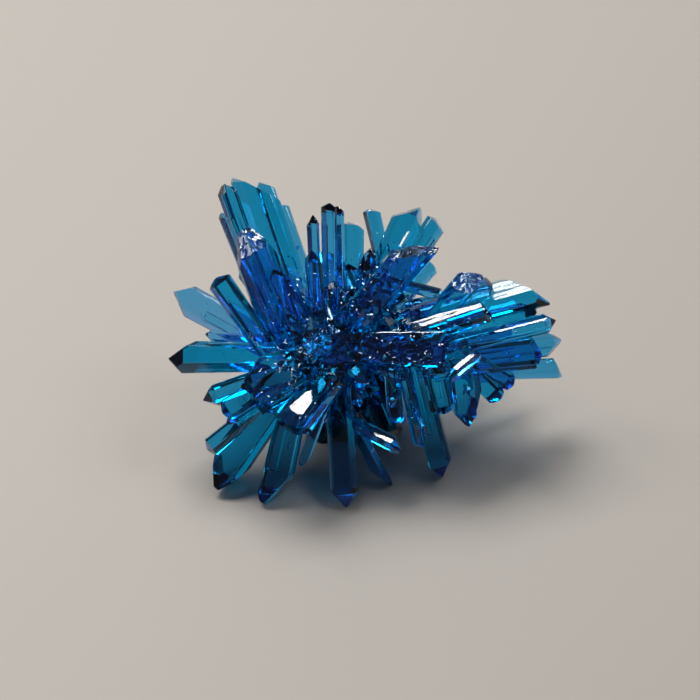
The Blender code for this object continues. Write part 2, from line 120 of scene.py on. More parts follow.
# Blades: root, tip, width, thickness, roll, tip form, and how far the peak is shifted sideways,
# as a share of half the width
BLADES = {
    # tall bundle, upper left
    "tall_main": ((-2.15, 0.45, -0.6), (-4.26, 6.30, -2.0), 1.55, 0.92, 8, "dome", -0.75),
    "tall_left": ((-3.15, 0.35, -0.4), (-5.10, 5.84, -1.7), 0.66, 0.70, 30, "bevel", 0.20),
    "tall_low": ((-3.15, 0.00, -0.5), (-5.10, 4.84, -1.9), 0.60, 0.60, 20, "bevel", -0.30),
    "tall_back": ((-1.85, 0.40, -0.9), (-3.76, 6.02, -2.5), 0.70, 0.60, 0, "dome", -0.40),
    "tall_right": ((-1.30, 0.10, -0.9), (-3.08, 5.12, -2.4), 0.52, 0.50, -5, "blunt", -0.20),
    # broken blade in front of it, and its dark neighbour
    "broken_left": ((-2.65, -0.40, 0.2), (-4.12, 3.80, 0.9), 1.60, 0.95, 14, "break_steep", 0.0),
    "dark_left": ((-1.85, -0.40, 0.5), (-3.12, 2.70, 1.1), 0.95, 0.80, 172, "dome", 0.20),
    # left side, from top to bottom
    "left_blunt": ((-3.00, -0.90, 0.5), (-5.28, 2.36, 1.1), 0.90, 0.95, 188, "blunt", 0.20),
    "left_pale": ((-2.40, -0.65, -0.6), (-6.92, 1.84, -0.8), 1.20, 0.34, 5, "dome", 0.05),
    "left_small": ((-2.60, -0.10, -0.3), (-5.75, 0.28, -0.3), 0.45, 0.35, 0, "point", 0.20),
    "left_stout": ((-3.00, -0.50, 0.2), (-7.03, -0.50, 0.1), 1.22, 1.30, 4, "hexagon", -0.10),
    "left_under": ((-3.00, -1.00, 0.2), (-5.80, -2.05, 0.2), 0.80, 0.70, 190, "point", 0.0),
    "left_lower": ((-2.40, -0.90, 0.5), (-5.05, -2.55, 0.7), 0.95, 0.90, 184, "blunt", 0.0),
    "left_behind": ((-2.20, -0.40, -0.8), (-4.55, 3.00, -1.9), 0.80, 0.60, 0, "dome", 0.0),
    # fan towards the lower left
    "fan_first": ((-2.50, -1.30, 0.2), (-5.66, -3.84, 0.1), 0.74, 0.66, 20, "blunt", 0.30),
    "fan_top": ((-3.50, -1.70, 0.35), (-4.95, -2.78, 0.83), 0.50, 0.45, 38, "bevel", 0.0),
    "fan_second": ((-2.75, -1.40, 0.1), (-5.40, -5.14, -0.2), 1.42, 1.15, 192, "long_right", 0.30),
    "fan_third": ((-2.40, -1.60, 0.3), (-3.32, -5.80, 0.45), 1.20, 0.95, 198, "lean_right", -0.35),
    "fan_inner": ((-1.10, -1.20, -0.5), (-2.35, -4.50, -0.8), 0.52, 0.45, 0, "steep", 0.0),
    # lowest blades, under the middle
    "foot_front": ((-0.95, -1.60, 0.2), (-0.68, -5.86, 0.60), 1.05, 0.95, 188, "point", 0.0),
    "foot_side": ((-0.75, -2.20, 0.0), (0.80, -5.22, -0.2), 0.55, 0.50, 20, "long_right", -0.40),
    "foot_right": ((-0.90, -2.60, 0.1), (1.28, -3.72, 1.2), 0.58, 0.45, -31, "bevel", 0.10),
    # blades under the right wing
    "drop_dark": ((0.90, -0.60, 0.3), (1.10, -2.85, 0.7), 0.62, 0.55, 15, "blunt", 0.0),
    "drop_main": ((1.80, -0.60, -0.2), (2.84, -4.82, -0.6), 0.92, 0.90, 190, "point", -0.10),
    "drop_left": ((1.35, -0.70, 0.0), (2.08, -3.82, -0.3), 0.60, 0.55, 35, "long_left", 0.20),
    "drop_broad": ((3.35, -0.10, 0.3), (3.75, -3.02, 0.75), 1.24, 1.05, 182, "long_right", -0.10),
    "drop_cap": ((3.98, -0.42, 0.95), (2.94, -1.28, 1.50), 0.46, 0.45, 36, "bevel", 0.0),
    "drop_scale": ((3.20, -1.25, 0.50), (3.90, -1.90, 1.18), 0.26, 0.30, -18, "bevel", 0.0),
    "drop_needle": ((1.55, -2.00, 0.0), (2.16, -3.16, 0.95), 0.20, 0.25, -10, "bevel", 0.0),
    "drop_chip": ((1.20, -1.50, 0.62), (0.90, -2.25, 1.13), 0.26, 0.28, 24, "bevel", 0.0),
    "drop_stub": ((3.00, -0.20, -0.5), (4.85, -2.00, -0.8), 0.75, 0.95, 185, "blunt", 0.0),
    "drop_lump": ((3.20, -0.20, -0.5), (5.35, -1.45, -0.6), 0.70, 0.90, 190, "blunt", 0.0),
    # right wing
    "wing_top": ((1.20, 0.58, -0.2), (6.42, 2.06, 0.1), 1.60, 0.85, -40, "left_low", 0.75),
    "wing_cover": ((1.40, 0.85, 0.3), (4.55, 2.06, 0.45), 0.72, 0.60, 5, "blunt", 0.0),
    "wing_middle": ((1.50, 0.10, -0.4), (6.15, 1.15, -0.3), 0.85, 0.85, 184, "dome", 0.0),
    "wing_low": ((1.60, -0.50, 0.4), (6.80, 0.80, 0.5), 0.72, 0.66, 8, "point", 0.0),
    "wing_dark": ((1.95, -0.80, -0.1), (6.30, -0.30, 0.0), 1.22, 0.95, 186, "blunt", -0.10),
    "wing_back": ((2.30, -0.70, -1.0), (7.18, 0.02, -1.5), 0.88, 0.50, 0, "bevel", -0.20),
    "wing_last": ((2.30, -1.05, -1.1), (7.20, -0.90, -1.7), 0.76, 0.50, 0, "right_high", 0.80),
    "wing_front": ((0.35, -0.10, 0.6), (4.40, 1.22, 1.0), 0.80, 0.70, -42, "blunt", 0.20),
    "wing_broken": ((2.05, 0.40, 0.1), (3.72, 2.26, 0.75), 0.90, 0.86, 10, "break_wing", -0.10),
    # large blade to the upper right, and the upright pair beside it
    "broken_right": ((-1.20, -0.20, 0.4), (2.05, 3.62, 1.0), 1.30, 0.90, 10, "break_slant", 0.50),
    "twin_left": ((-1.22, 0.00, 0.3), (-1.30, 5.00, 0.3), 0.56, 0.52, 8, "shoulder", 0.10),
    "twin_right": ((-0.85, 0.00, 0.1), (-0.97, 4.90, 0.1), 0.44, 0.48, 12, "shoulder", -0.20),
    "upright_small": ((-1.70, 0.40, -0.1), (-1.88, 4.60, -0.1), 0.46, 0.50, 10, "spire", 0.0),
    "upright_dark": ((-1.55, -0.20, 0.6), (-1.90, 3.34, 1.0), 0.62, 0.62, 190, "spire", 0.0),
    # group behind, upper right
    "rear_left": ((0.90, 1.90, -1.7), (0.20, 4.98, -2.2), 0.66, 0.80, 0, "blunt", -0.20),
    "rear_round": ((-0.50, 0.80, -1.0), (-0.50, 4.45, -1.6), 1.00, 0.70, 20, "blunt", 0.0),
    "rear_main": ((0.35, 1.90, -1.1), (1.85, 5.12, -1.8), 1.22, 1.05, 2, "left_low", 0.40),
    "rear_sliver": ((1.28, 3.42, -0.82), (1.76, 4.27, -1.38), 0.20, 0.25, -29, "bevel", 0.0),
    "rear_right": ((0.80, 1.70, -1.3), (2.72, 4.55, -1.9), 0.85, 0.85, -10, "blunt", -0.40),
    "rear_side": ((1.00, 1.20, -1.5), (2.55, 2.92, -2.1), 0.62, 0.55, 0, "blunt", 0.0),
    "rear_strip": ((0.60, 2.30, -0.9), (2.78, 1.72, -0.9), 0.46, 0.40, 25, "blunt", 0.0),
    "rear_fill": ((0.60, 0.90, -1.0), (2.90, 1.35, -1.4), 1.00, 0.80, 10, "blunt", 0.0),
    "rear_point": ((-0.20, 0.80, 0.0), (0.20, 3.42, -0.1), 0.70, 0.60, 5, "point", 0.0),
    # blades that stand out of the showy side
    "front_low": ((-1.10, -0.70, 0.4), (-2.90, -3.05, 1.9), 1.90, 1.30, 190, "blunt", 0.10),
    "front_left": ((-1.60, -0.50, 0.4), (-4.55, -1.50, 1.5), 1.60, 1.20, 176, "dome", 0.10),
    "front_between": ((-1.20, -0.50, 0.4), (-3.95, -2.15, 2.0), 1.40, 1.10, 202, "blunt", 0.0),
    "front_right": ((-0.90, -0.20, 0.6), (3.05, -0.25, 1.5), 1.35, 1.10, 162, "blunt", 0.0),
    "front_broken": ((-1.60, 0.80, 0.3), (-1.70, -0.05, 2.9), 1.10, 0.95, 10, "break_end", 0.0),
    "front_needle": ((-1.45, 1.60, 0.5), (-1.10, 0.68, 1.35), 0.16, 0.20, -3, "bevel", 0.0),
    # far side
    "far_top_left": ((-1.80, 0.50, -1.0), (-3.40, 2.90, -4.2), 1.10, 0.75, 20, "dome", 0.20),
    "far_top": ((-0.60, 0.80, -1.2), (-1.40, 3.60, -4.4), 0.85, 0.65, -15, "bevel", -0.30),
    "far_top_right": ((0.60, 0.90, -1.4), (1.20, 3.00, -4.7), 1.15, 0.70, 35, "dome", 0.10),
    "far_left": ((-2.00, 0.00, -0.8), (-5.00, 0.90, -3.4), 1.00, 0.60, 10, "long_left", 0.20),
    "far_middle_left": ((-1.40, 0.20, -1.2), (-2.80, 0.80, -5.0), 1.20, 0.85, 0, "point", 0.0),
    "far_middle": ((-0.40, 0.20, -1.4), (-0.50, 1.30, -5.5), 0.90, 0.80, 25, "bevel", 0.10),
    "far_middle_right": ((0.80, 0.10, -1.4), (1.90, 0.90, -5.1), 1.25, 0.80, -20, "point", 0.20),
    "far_right": ((1.60, 0.00, -0.9), (4.20, 1.10, -3.7), 1.05, 0.60, 15, "long_right", -0.20),
    "far_wing": ((2.00, -0.20, -0.8), (5.60, 0.20, -2.8), 0.80, 0.55, 0, "dome", 0.0),
    "far_low_left": ((-1.60, -0.80, -1.2), (-3.60, -1.10, -3.9), 0.95, 0.70, 30, "bevel", 0.0),
    "far_low": ((-0.40, -1.00, -1.6), (-0.90, -0.90, -5.2), 1.00, 0.80, 10, "dome", -0.20),
    "far_low_right": ((0.80, -0.90, -1.4), (2.60, -0.90, -4.5), 0.90, 0.70, -25, "bevel", 0.20),
    # stout blades under the middle, cut off flat where the cluster came away from the rock
    "scar_left": ((-0.40, -1.00, -1.6), (-1.80, -3.70, -2.7), 1.40, 1.10, 20, "blunt", 0.0),
    "scar_front": ((-0.40, -1.00, -1.5), (-0.40, -3.80, -2.7), 1.50, 1.20, 0, "blunt", 0.0),
    "scar_right": ((-0.40, -1.00, -1.6), (0.90, -3.60, -2.8), 1.40, 1.10, 40, "blunt", 0.0),
    "scar_rear_left": ((-0.50, -1.00, -1.8), (-1.20, -2.90, -3.9), 1.40, 1.20, 10, "blunt", 0.0),
    "scar_deep": ((0.10, -1.00, -1.0), (1.05, -3.30, -1.6), 1.20, 1.00, 25, "blunt", 0.0),
    "scar_rear": ((-0.40, -1.00, -1.8), (0.20, -2.80, -4.0), 1.50, 1.20, 30, "blunt", 0.0),
    # fills the gap under the right wing
    "drop_back": ((2.45, -0.50, -0.7), (2.90, -2.55, -0.8), 0.90, 0.80, 185, "blunt", 0.0),
}

# Small blades that crowd round the growth centres: centre, radius of the crowd's core, how many
SMALL_SEED = 11
SMALL_BLADES = (
    (MAIN, 1.5, 54),
    (WING, 0.9, 12),
    (REAR, 1.55, 20),
    (FOOT, 1.4, 10),
)
SMALL_REACH = (0.35, 1.35)   # how far they stand out of that core
SMALL_WIDTH = (0.45, 0.90)
SMALL_ROLL = (0, 90)     # degrees
SMALL_THICKNESS = 0.8    # share of the width
SMALL_ROOT = 0.3         # how far its root is from the centre, as a share of that radius


# ---- fine surface (millimetres): grooves and fractures are cut into the plain blades, and ribs,
# chips and specks stand a little out of them ----
DETAIL_SEED = 5
CUT_WELD = 1e-5          # a point closer than this to a cut lies on it
END_FACE_SINE = 0.75     # a face whose normal is closer than this to the blade's length is an end
CORNER_BLUNT = 0.022     # flat along each long edge
BLUNT_SHARE = 0.25       # and at most this share of a side
CORNER_WEAR = 0.005      # unevenness of that flat
TIP_BLUNT = (0.006, 0.022)   # flat along each edge between two tip faces
STRIA_WIDTH = 0.12       # spacing of the fine grooves along a blade
STRIA_JITTER = 0.3       # unevenness of the spacing, as a share of it
STRIA_DEPTH = (0.001, 0.008)     # shallowest and deepest side
STRIA_LENGTH = 1.1       # a groove changes its depth about this often along the blade
# Sides with deep grooves, counted from the right edge through the front: side, depth
DEEP_STRIAE = {
    "wing_top": (1, 0.045),
    "wing_front": (1, 0.055),
    "wing_low": (2, 0.045),
    "drop_cap": (1, 0.045),
    "foot_right": (1, 0.040),
    "fan_top": (1, 0.040),
}
RIB_BLADE_WIDTH = 0.84   # narrower blades have no ribs
RIB_COUNT = (0, 1)
RIB_WIDTH = (0.22, 0.45)     # share of the blade's width
RIB_LENGTH = (0.72, 0.94)    # share of the blade's length
RIB_SPREAD = 0.36        # how far from the middle, as a share of the free width
RIB_PROUD = (0.015, 0.045)   # how far a rib stands out of its blade's broad faces
CHIPS_PER_BLADE = 2
CHIP_WIDTH = (0.05, 0.16)
CHIP_PLACE = (0.10, 0.52)    # share of the blade's length
CHIP_LENGTH = (0.8, 1.8)     # share of the chip's width
CHIP_ALONG = (-0.3, 1.0)     # how much of its direction runs along the blade
CHIP_OUT = (0.3, 0.9)    # and how much runs out of the surface
CHIP_DEPTH = 0.85        # where a chip is seated, as a share of the way to the surface
CHIP_FLOOR = 0.4         # no chips or specks lower than this
LEAST_COSINE = 0.01      # keeps the way to the surface finite in every direction
FRACTURE_SIDE = 0.30     # faces that look along the blade more than this belong to its broken end
FRACTURE_CUTS = 3        # how often each edge of a fracture is cut
FRACTURE_DEPTH = 0.13    # deepest pit of the most rugged fracture there could be
# Share of that depth, for each broken end
RUGGEDNESS = {"break_steep": 0.5, "break_slant": 0.9, "break_wing": 0.5, "break_end": 0.25}

# Healed cracks inside: thin lens-shaped gaps
FLAW_COUNT = 25
FLAW_RADIUS = (0.05, 0.16)
FLAW_RIM = (0.6, 1.0)    # how far its corners reach, as a share of the radius
FLAW_SIDES = (5, 8)
FLAW_THICKNESS = 0.012
FLAW_PLACE = (0.10, 0.62)    # share of the blade's length
FLAW_SPREAD = 0.3        # how far from the axis, as a share of the width or thickness

# Tiny crystals and droplets of clear crystal that dust the surface round the growth centres, in
# the display frame: the side that they are dropped from, middle, spread, how many
SHOWY_SIDE = (0.0, 0.0, 1.0)
SPECK_VIEWS = (
    (SHOWY_SIDE, (-0.9, -0.2, 0.0), (3.8, 3.1), 320),
    (SHOWY_SIDE, (2.6, 0.3, 0.0), (2.8, 1.3), 110),
    ((0.0, 1.0, 0.3), (0.0, 0.0, -0.5), (3.6, 2.6), 90),
    ((-1.0, 0.3, -0.2), (0.0, 0.0, -0.5), (2.6, 2.6), 70),
    ((1.0, 0.4, -0.2), (0.0, 0.0, -0.5), (2.6, 2.6), 70),
    ((0.0, 0.2, -1.0), (0.0, 0.0, 0.0), (3.6, 2.6), 120),
)
SPECK_WIDTH = (0.020, 0.040)
SPECK_LENGTH = (1.0, 4.0)    # share of the speck's width
SPECK_UP = (-0.19, -0.19, 0.96)      # where their flat tops look, because they grew nearly parallel
SPECK_TILT = 13          # a speck leans at most this much from that, in degrees
# Section of a speck, as shares of its width
SPECK_OUTLINE = ((0.5, 0.0), (0.38, 0.4), (-0.38, 0.4), (-0.5, 0.0), (-0.3, -0.8), (0.3, -0.8))
BEAD_EVERY = 14          # each so many specks, one is a round bead
BEAD_RADIUS = (0.030, 0.060)
BEAD_HEIGHT = 0.25       # share of the bead's radius
BEAD_SUBDIVISIONS = 3
LUMP_SUBDIVISIONS = 2
VIEW_DISTANCE = 12.0     # where the specks are dropped from

# ---- looks of the crystal ----
CRYSTAL_COLOUR = (0.62, 0.58, 1.0, 1.0)  # tint of each face that light passes
CRYSTAL_ROUGHNESS = 0.02
CRYSTAL_IOR = 1.54
ABSORPTION_COLOUR = (0.0, 0.908, 0.937, 1.0)
ABSORPTION_DENSITY = 5200.0      # per metre
GRAIN_STRETCH = (22.0, 0.8, 1.0)     # noise cells per millimetre, across and along a blade
GRAIN_DETAIL = 3.0
GRAIN_BUMP = 0.10
GRAIN_HEIGHT = 0.00001   # metres

# ---- floor, lights and camera (metres and degrees where not said otherwise) ----
FLOOR_REACH = 0.5        # from the middle to each side
FLOOR_COLOUR = (0.232, 0.213, 0.194, 1.0)
FLOOR_ROUGHNESS = 0.6
# Lights: azimuth, elevation, distance, size, radiance, colour
LIGHTS = {
    "key": (-28, 56, 0.20, (0.11, 0.08), 22.0, (1.0, 0.97, 0.93)),
    "left": (-70, 43, 0.20, (0.067, 0.093), 7.0, (1.0, 0.98, 0.95)),
    "back": (0, 32, 0.30, (0.50, 0.16), 0.8, (0.95, 0.98, 1.0)),
    "right": (62, 55, 0.20, (0.08, 0.08), 7.5, (0.93, 0.97, 1.0)),
    "fill_left": (-105, 11, 0.30, (0.26, 0.09), 0.4, (0.9, 0.95, 1.0)),
    "fill_right": (108, 11, 0.30, (0.26, 0.09), 0.4, (0.9, 0.95, 1.0)),
}
LIGHT_TARGET = (0.0, 0.0, 0.004)
SURROUND_COLOUR = (0.80, 0.82, 0.86, 1.0)
SURROUND_STRENGTH = 0.10
CAMERA_PLACE = (-0.536, -0.25, 100.0)    # display frame, millimetres
CAMERA_LENS = 144.0      # millimetres; with this sensor, 25 mm at the cluster fill the picture
CAMERA_SENSOR = 36.0
CAMERA_CLIP = (0.001, 10.0)
BOUNCES = 24             # light crosses many faces on its way through the crystal


def display_to_world(point):
    """World point, above the resting plane, of a point of the display frame, in millimetres."""
    u, v, w = point
    tilt = math.radians(DISPLAY_TILT)
    y = v * math.sin(tilt) - w * math.cos(tilt)
    z = v * math.cos(tilt) + w * math.sin(tilt)
    return Vector((u, y, z + CENTRE_HEIGHT))


def outward_direction():
    """World direction that the showy side faces."""
    tilt = math.radians(DISPLAY_TILT)
    return Vector((0.0, -math.cos(tilt), math.sin(tilt)))


def blade_axes(root, tip, roll):
    """Unit vectors along a blade, across its broad face and out of that face."""
    along = (tip - root).normalized()
    face = outward_direction()
    face = face - along * face.dot(along)
    if face.length < FACING_LIMIT:
        face = Vector((0.0, 0.0, 1.0)) - along * along.z
    face.normalize()
    side = along.cross(face)
    turn = math.radians(roll)
    turned_face = face * math.cos(turn) + side * math.sin(turn)
    return along, along.cross(turned_face), turned_face


def blade_section(width, thickness, rng):
    """Flattened eight-sided outline of a blade, a little uneven as grown crystals are."""
    corners = []
    for side_sign, face_sign in ((1, 1), (-1, 1), (-1, -1), (1, -1)):
        edge_range, flat_range = FRONT_SHARES if face_sign > 0 else BACK_SHARES
        depth = face_sign * thickness / 2
        if side_sign < 0 and face_sign < 0:
            depth *= BACK_LEAN
        edge = (side_sign * width / 2, depth * rng.uniform(*edge_range))
        flat = (side_sign * width / 2 * rng.uniform(*flat_range), depth)
        corners.extend((edge, flat) if side_sign == face_sign else (flat, edge))
    return corners


def groove_places(corners, detail):
    """Where the grooves run: (side index, distance along it) for each point of the outline."""
    places = []
    for index, corner in enumerate(corners):
        length = (Vector(corners[(index + 1) % len(corners)]) - Vector(corner)).length
        blunt = min(CORNER_BLUNT, length * BLUNT_SHARE)
        free = length - 2 * blunt
        strips = max(1, int(free / STRIA_WIDTH))
        places.append((index, blunt))
        for strip in range(1, strips):
            step = strip + detail.uniform(-STRIA_JITTER, STRIA_JITTER)
            places.append((index, blunt + free * step / strips))
        places.append((index, length - blunt))
    return places


def grooved_outline(corners, places, depths):
    """The outline with its corners blunted and its grooves cut in."""
    outline = []
    for (index, place), depth in zip(places, depths):
        start = Vector(corners[index])
        run = (Vector(corners[(index + 1) % len(corners)]) - start).normalized()
        outline.append(tuple(start + run * place + Vector((-run.y, run.x)) * depth))
    return outline


def groove_limits(corners, places, deep, detail):
    """Deepest cut at each point of the outline; little at the blunted corners."""
    shallow, usual = STRIA_DEPTH
    side_depths = [shallow * (usual / shallow) ** detail.random() for _ in corners]
    if deep:
        side_depths[deep[0]] = deep[1]
    limits = []
    for index, (side, _) in enumerate(places):
        inner = places[index - 1][0] == side == places[(index + 1) % len(places)][0]
        limits.append(side_depths[side] if inner else CORNER_WEAR)
    return limits


def grooved_outlines(corners, count, deep, detail):
    """One outline for each station along a blade; grooves deepen and fade between stations."""
    places = groove_places(corners, detail)
    limits = groove_limits(corners, places, deep, detail)
    depths = [limit * detail.random() for limit in limits]
    outlines = [grooved_outline(corners, places, depths)]
    for _ in range(count - 1):
        depths = [(depth + limit * detail.random()) / 2 for depth, limit in zip(depths, limits)]
        outlines.append(grooved_outline(corners, places, depths))
    return outlines


def add_prism(bm, root, tip, axes, outlines, overshoot):
    """Add a tapered prism from root to past the tip, through evenly spaced outlines."""
    along, side, face = axes
    end = tip + along * overshoot
    rings = []
    for station, outline in enumerate(outlines):
        share = station / (len(outlines) - 1)
        centre = root.lerp(end, share)
        scale = ROOT_TAPER + (1.0 - ROOT_TAPER) * share
        places = [centre + side * (s * scale) + face * (f * scale) for s, f in outline]
        rings.append([bm.verts.new(place) for place in places])
    count = len(rings[0])
    for lower, upper in zip(rings, rings[1:]):
        for index in range(count):
            following = (index + 1) % count
            bm.faces.new((lower[index], lower[following], upper[following], upper[index]))
    bm.faces.new(list(reversed(rings[0])))
    bm.faces.new(rings[-1])
    if len(rings) > 2:
        bmesh.ops.triangulate(bm, faces=bm.faces[:])


def cut_away(bm, point, normal):
    """Remove what lies beyond a plane and close the cut with a flat face."""
    geometry = bm.verts[:] + bm.edges[:] + bm.faces[:]
    cut = bmesh.ops.bisect_plane(
        bm, geom=geometry, dist=CUT_WELD, plane_co=point, plane_no=normal, clear_outer=True)
    edges = [item for item in cut["geom_cut"] if isinstance(item, bmesh.types.BMEdge)]
    if len(edges) > 2:
        bmesh.ops.edgenet_fill(bm, edges=edges)


def break_planes(tip, peak, axes, width, form, rng):
    """Planes of a broken end: (point, outward normal) for each face of the fracture."""
    along, side, face = axes
    lean, tilt = (math.tan(math.radians(angle)) for angle in BREAKS[form])
    planes = []
    for index in range(BREAK_FACES):
        turn = math.radians(360 * index / BREAK_FACES + rng.uniform(-BREAK_TURN, BREAK_TURN))
        slope = math.radians(rng.uniform(*BREAK_SLOPE))
        outward = side * math.cos(turn) + face * math.sin(turn)
        normal = along * math.cos(slope) + outward * math.sin(slope)
        normal = (normal - side * lean).normalized()
        normal = (normal + face * tilt).normalized()
        planes.append((peak - along * rng.uniform(0.0, BREAK_STEP), normal))
    if form == "break_steep":
        slope = math.radians(SHOULDER_SLOPE)
        for sign in (-1, 1):
            normal = along * math.cos(slope) + side * (sign * math.sin(slope))
            planes.append((tip + side * (sign * width * SHOULDER_PLACE), normal))
    return planes


def tip_planes(tip, axes, width, thickness, form, shift, rng):
    """Planes that close a blade: (point, outward normal) for each tip face."""
    along, side, face = axes
    peak = tip + side * (shift * width / 2)
    if form in BREAKS:
        return break_planes(tip, peak, axes, width, form, rng)
    left, right, front, back, splay, depth = TIPS[form]
    peak += face * (depth * thickness / 2)
    lean = face * math.tan(math.radians(splay))
    faces = ((lean - side, left), (lean + side, right), (face, front), (-face, back))
    planes = []
    for direction, slope in faces:
        angle = math.radians(slope + rng.uniform(-SLOPE_SPREAD, SLOPE_SPREAD))
        planes.append((peak, along * math.cos(angle) + direction.normalized() * math.sin(angle)))
    return planes


def blunting_planes(planes, detail):
    """Narrow flats along the edges where two tip faces meet."""
    extra = []
    for first, (point, normal) in enumerate(planes):
        for _, other_normal in planes[first + 1:]:
            between = (normal + other_normal).normalized()
            extra.append((point - between * detail.uniform(*TIP_BLUNT), between))
    return extra


def write_grain(bm, axes):
    """UV in millimetres: across each face and along the blade, for the growth lines."""
    along, side, face = axes
    layer = bm.loops.layers.uv.new(GRAIN_LAYER)
    for item in bm.faces:
        across = item.normal.cross(along)
        if across.length < END_FACE_SINE:
            first, second = side, face
        else:
            first, second = across.normalized(), along
        for loop in item.loops:
            loop[layer].uv = (loop.vert.co.dot(first), loop.vert.co.dot(second))


def broken_faces(bm, along):
    """Faces of a broken end."""
    return [item for item in bm.faces if item.normal.dot(along) > FRACTURE_SIDE]


def roughen_break(bm, along, share, detail):
    """Turn the flat faces of a broken end into a fracture, as rugged as the share says."""
    bmesh.ops.recalc_face_normals(bm, faces=bm.faces[:])
    bmesh.ops.triangulate(bm, faces=broken_faces(bm, along))
    edges = {edge for item in broken_faces(bm, along) for edge in item.edges}
    bmesh.ops.subdivide_edges(bm, edges=list(edges), cuts=FRACTURE_CUTS, use_grid_fill=True)
    ends = broken_faces(bm, along)
    vertices = {vertex for item in ends for vertex in item.verts}
    for vertex in sorted(vertices, key=lambda item: tuple(item.co)):
        vertex.co -= along * detail.uniform(0.0, FRACTURE_DEPTH * share)
    bmesh.ops.triangulate(bm, faces=ends)


def make_object(name, bm, collection):
    """Link a new object that holds the mesh to a collection, and free the bmesh."""
    mesh = bpy.data.meshes.new(name)
    bm.to_mesh(mesh)
    bm.free()
    made = bpy.data.objects.new(name, mesh)
    collection.objects.link(made)
    return made


def add_solid(target, bm):
    """Add a closed mesh to the collection of solids that are joined later."""
    bmesh.ops.recalc_face_normals(bm, faces=bm.faces[:])
    bmesh.ops.triangulate(bm, faces=bm.faces[:])
    make_object("growth", bm, target)


def close_blade(target, bm, axes):
    """Finish one blade's mesh and add it to the target."""
    bmesh.ops.recalc_face_normals(bm, faces=bm.faces[:])
    write_grain(bm, axes)
    add_solid(target, bm)


def add_plain_blade(target, root, tip, axes, width, thickness, planes, rng):
    """Add a blade without grooves, closed by the planes."""
    bm = bmesh.new()
    section = blade_section(width, thickness, rng)
    add_prism(bm, root, tip, axes, [section, section], width)
    for point, normal in planes:
        cut_away(bm, point, normal)
    close_blade(target, bm, axes)


def add_ribs(target, root, tip, axes, width, thickness, form, shift, detail):
    """Add the parallel ribs that stand a little out of a broad blade."""
    side = axes[1]
    for _ in range(detail.randint(*RIB_COUNT)):
        rib_width = width * detail.uniform(*RIB_WIDTH)
        place = side * ((width - rib_width) * detail.uniform(-RIB_SPREAD, RIB_SPREAD))
        proud = detail.uniform(*RIB_PROUD)
        rib_tip = root + (tip - root) * detail.uniform(*RIB_LENGTH) + place
        planes = tip_planes(rib_tip, axes, rib_width, thickness, form, shift, detail)
        add_plain_blade(target, root + place, rib_tip, axes, rib_width, thickness + 2 * proud,
                        planes, detail)


def add_chips(target, root, tip, axes, width, thickness, detail):
    """Add tiny crystals that grew on a blade near its root."""
    along, side, face = axes
    for _ in range(CHIPS_PER_BLADE):
        turn = detail.uniform(0, 2 * math.pi)
        out = side * math.cos(turn) + face * math.sin(turn)
        reach = min(width / 2 / max(abs(math.cos(turn)), LEAST_COSINE),
                    thickness / 2 / max(abs(math.sin(turn)), LEAST_COSINE))
        seat = root.lerp(tip, detail.uniform(*CHIP_PLACE)) + out * (reach * CHIP_DEPTH)
        heading = along * detail.uniform(*CHIP_ALONG) + out * detail.uniform(*CHIP_OUT)
        heading.normalize()
        chip_width = detail.uniform(*CHIP_WIDTH)
        chip_tip = seat + heading * (chip_width * detail.uniform(*CHIP_LENGTH))
        chip_axes = blade_axes(seat, chip_tip, detail.uniform(*SMALL_ROLL))
        chip_thickness = chip_width * SMALL_THICKNESS
        planes = tip_planes(chip_tip, chip_axes, chip_width, chip_thickness, "point", 0.0, detail)
        if seat.z > CHIP_FLOOR:
            add_plain_blade(target, seat - heading * chip_width, chip_tip, chip_axes,
                            chip_width, chip_thickness, planes, detail)


def add_blade(target, root, tip, width, thickness, roll, form, shift, rng, detail, deep=None):
    """Add one closed blade with grooved sides and a blunted or rugged end."""
    axes = blade_axes(root, tip, roll)
    bm = bmesh.new()
    corners = blade_section(width, thickness, rng)
    stations = 2 + int((tip - root).length / STRIA_LENGTH)
    add_prism(bm, root, tip, axes, grooved_outlines(corners, stations, deep, detail), width)
    planes = tip_planes(tip, axes, width, thickness, form, shift, rng)
    if form in TIPS:
        planes += blunting_planes(planes, detail)
    for point, normal in planes:
        cut_away(bm, point, normal)
    if form in BREAKS:
        roughen_break(bm, axes[0], RUGGEDNESS[form], detail)
    close_blade(target, bm, axes)


def add_named_blade(target, name, rng):
    """Add one blade of the table with its ribs and chips."""
    root, tip, width, thickness, roll, form, shift = BLADES[name]
    root, tip = display_to_world(root), display_to_world(tip)
    detail = random.Random(name)
    deep = DEEP_STRIAE.get(name)
    add_blade(target, root, tip, width, thickness, roll, form, shift, rng, detail, deep)
    axes = blade_axes(root, tip, roll)
    if width >= RIB_BLADE_WIDTH and form in TIPS:
        add_ribs(target, root, tip, axes, width, thickness, form, shift, detail)
    add_chips(target, root, tip, axes, width, thickness, detail)


def random_direction(rng):
    """Even random unit vector."""
    height = rng.uniform(-1, 1)
    turn = rng.uniform(0, 2 * math.pi)
    flat = math.sqrt(1 - height * height)
    return Vector((flat * math.cos(turn), flat * math.sin(turn), height))


def add_small_blades(target, rng, detail):
    """Add the small blades that stand out of the growth centres in every free direction."""
    for centre, core_radius, count in SMALL_BLADES:
        for _ in range(count):
            direction = random_direction(rng)
            reach = core_radius + rng.uniform(*SMALL_REACH)
            width = rng.uniform(*SMALL_WIDTH)
            roll = rng.uniform(*SMALL_ROLL)
            root = Vector(centre) + direction * (core_radius * SMALL_ROOT)
            tip = display_to_world(Vector(centre) + direction * reach)
            if tip.z < width:
                continue
            add_blade(target, display_to_world(root), tip, width, width * SMALL_THICKNESS,
                      roll, "point", 0.0, rng, detail)


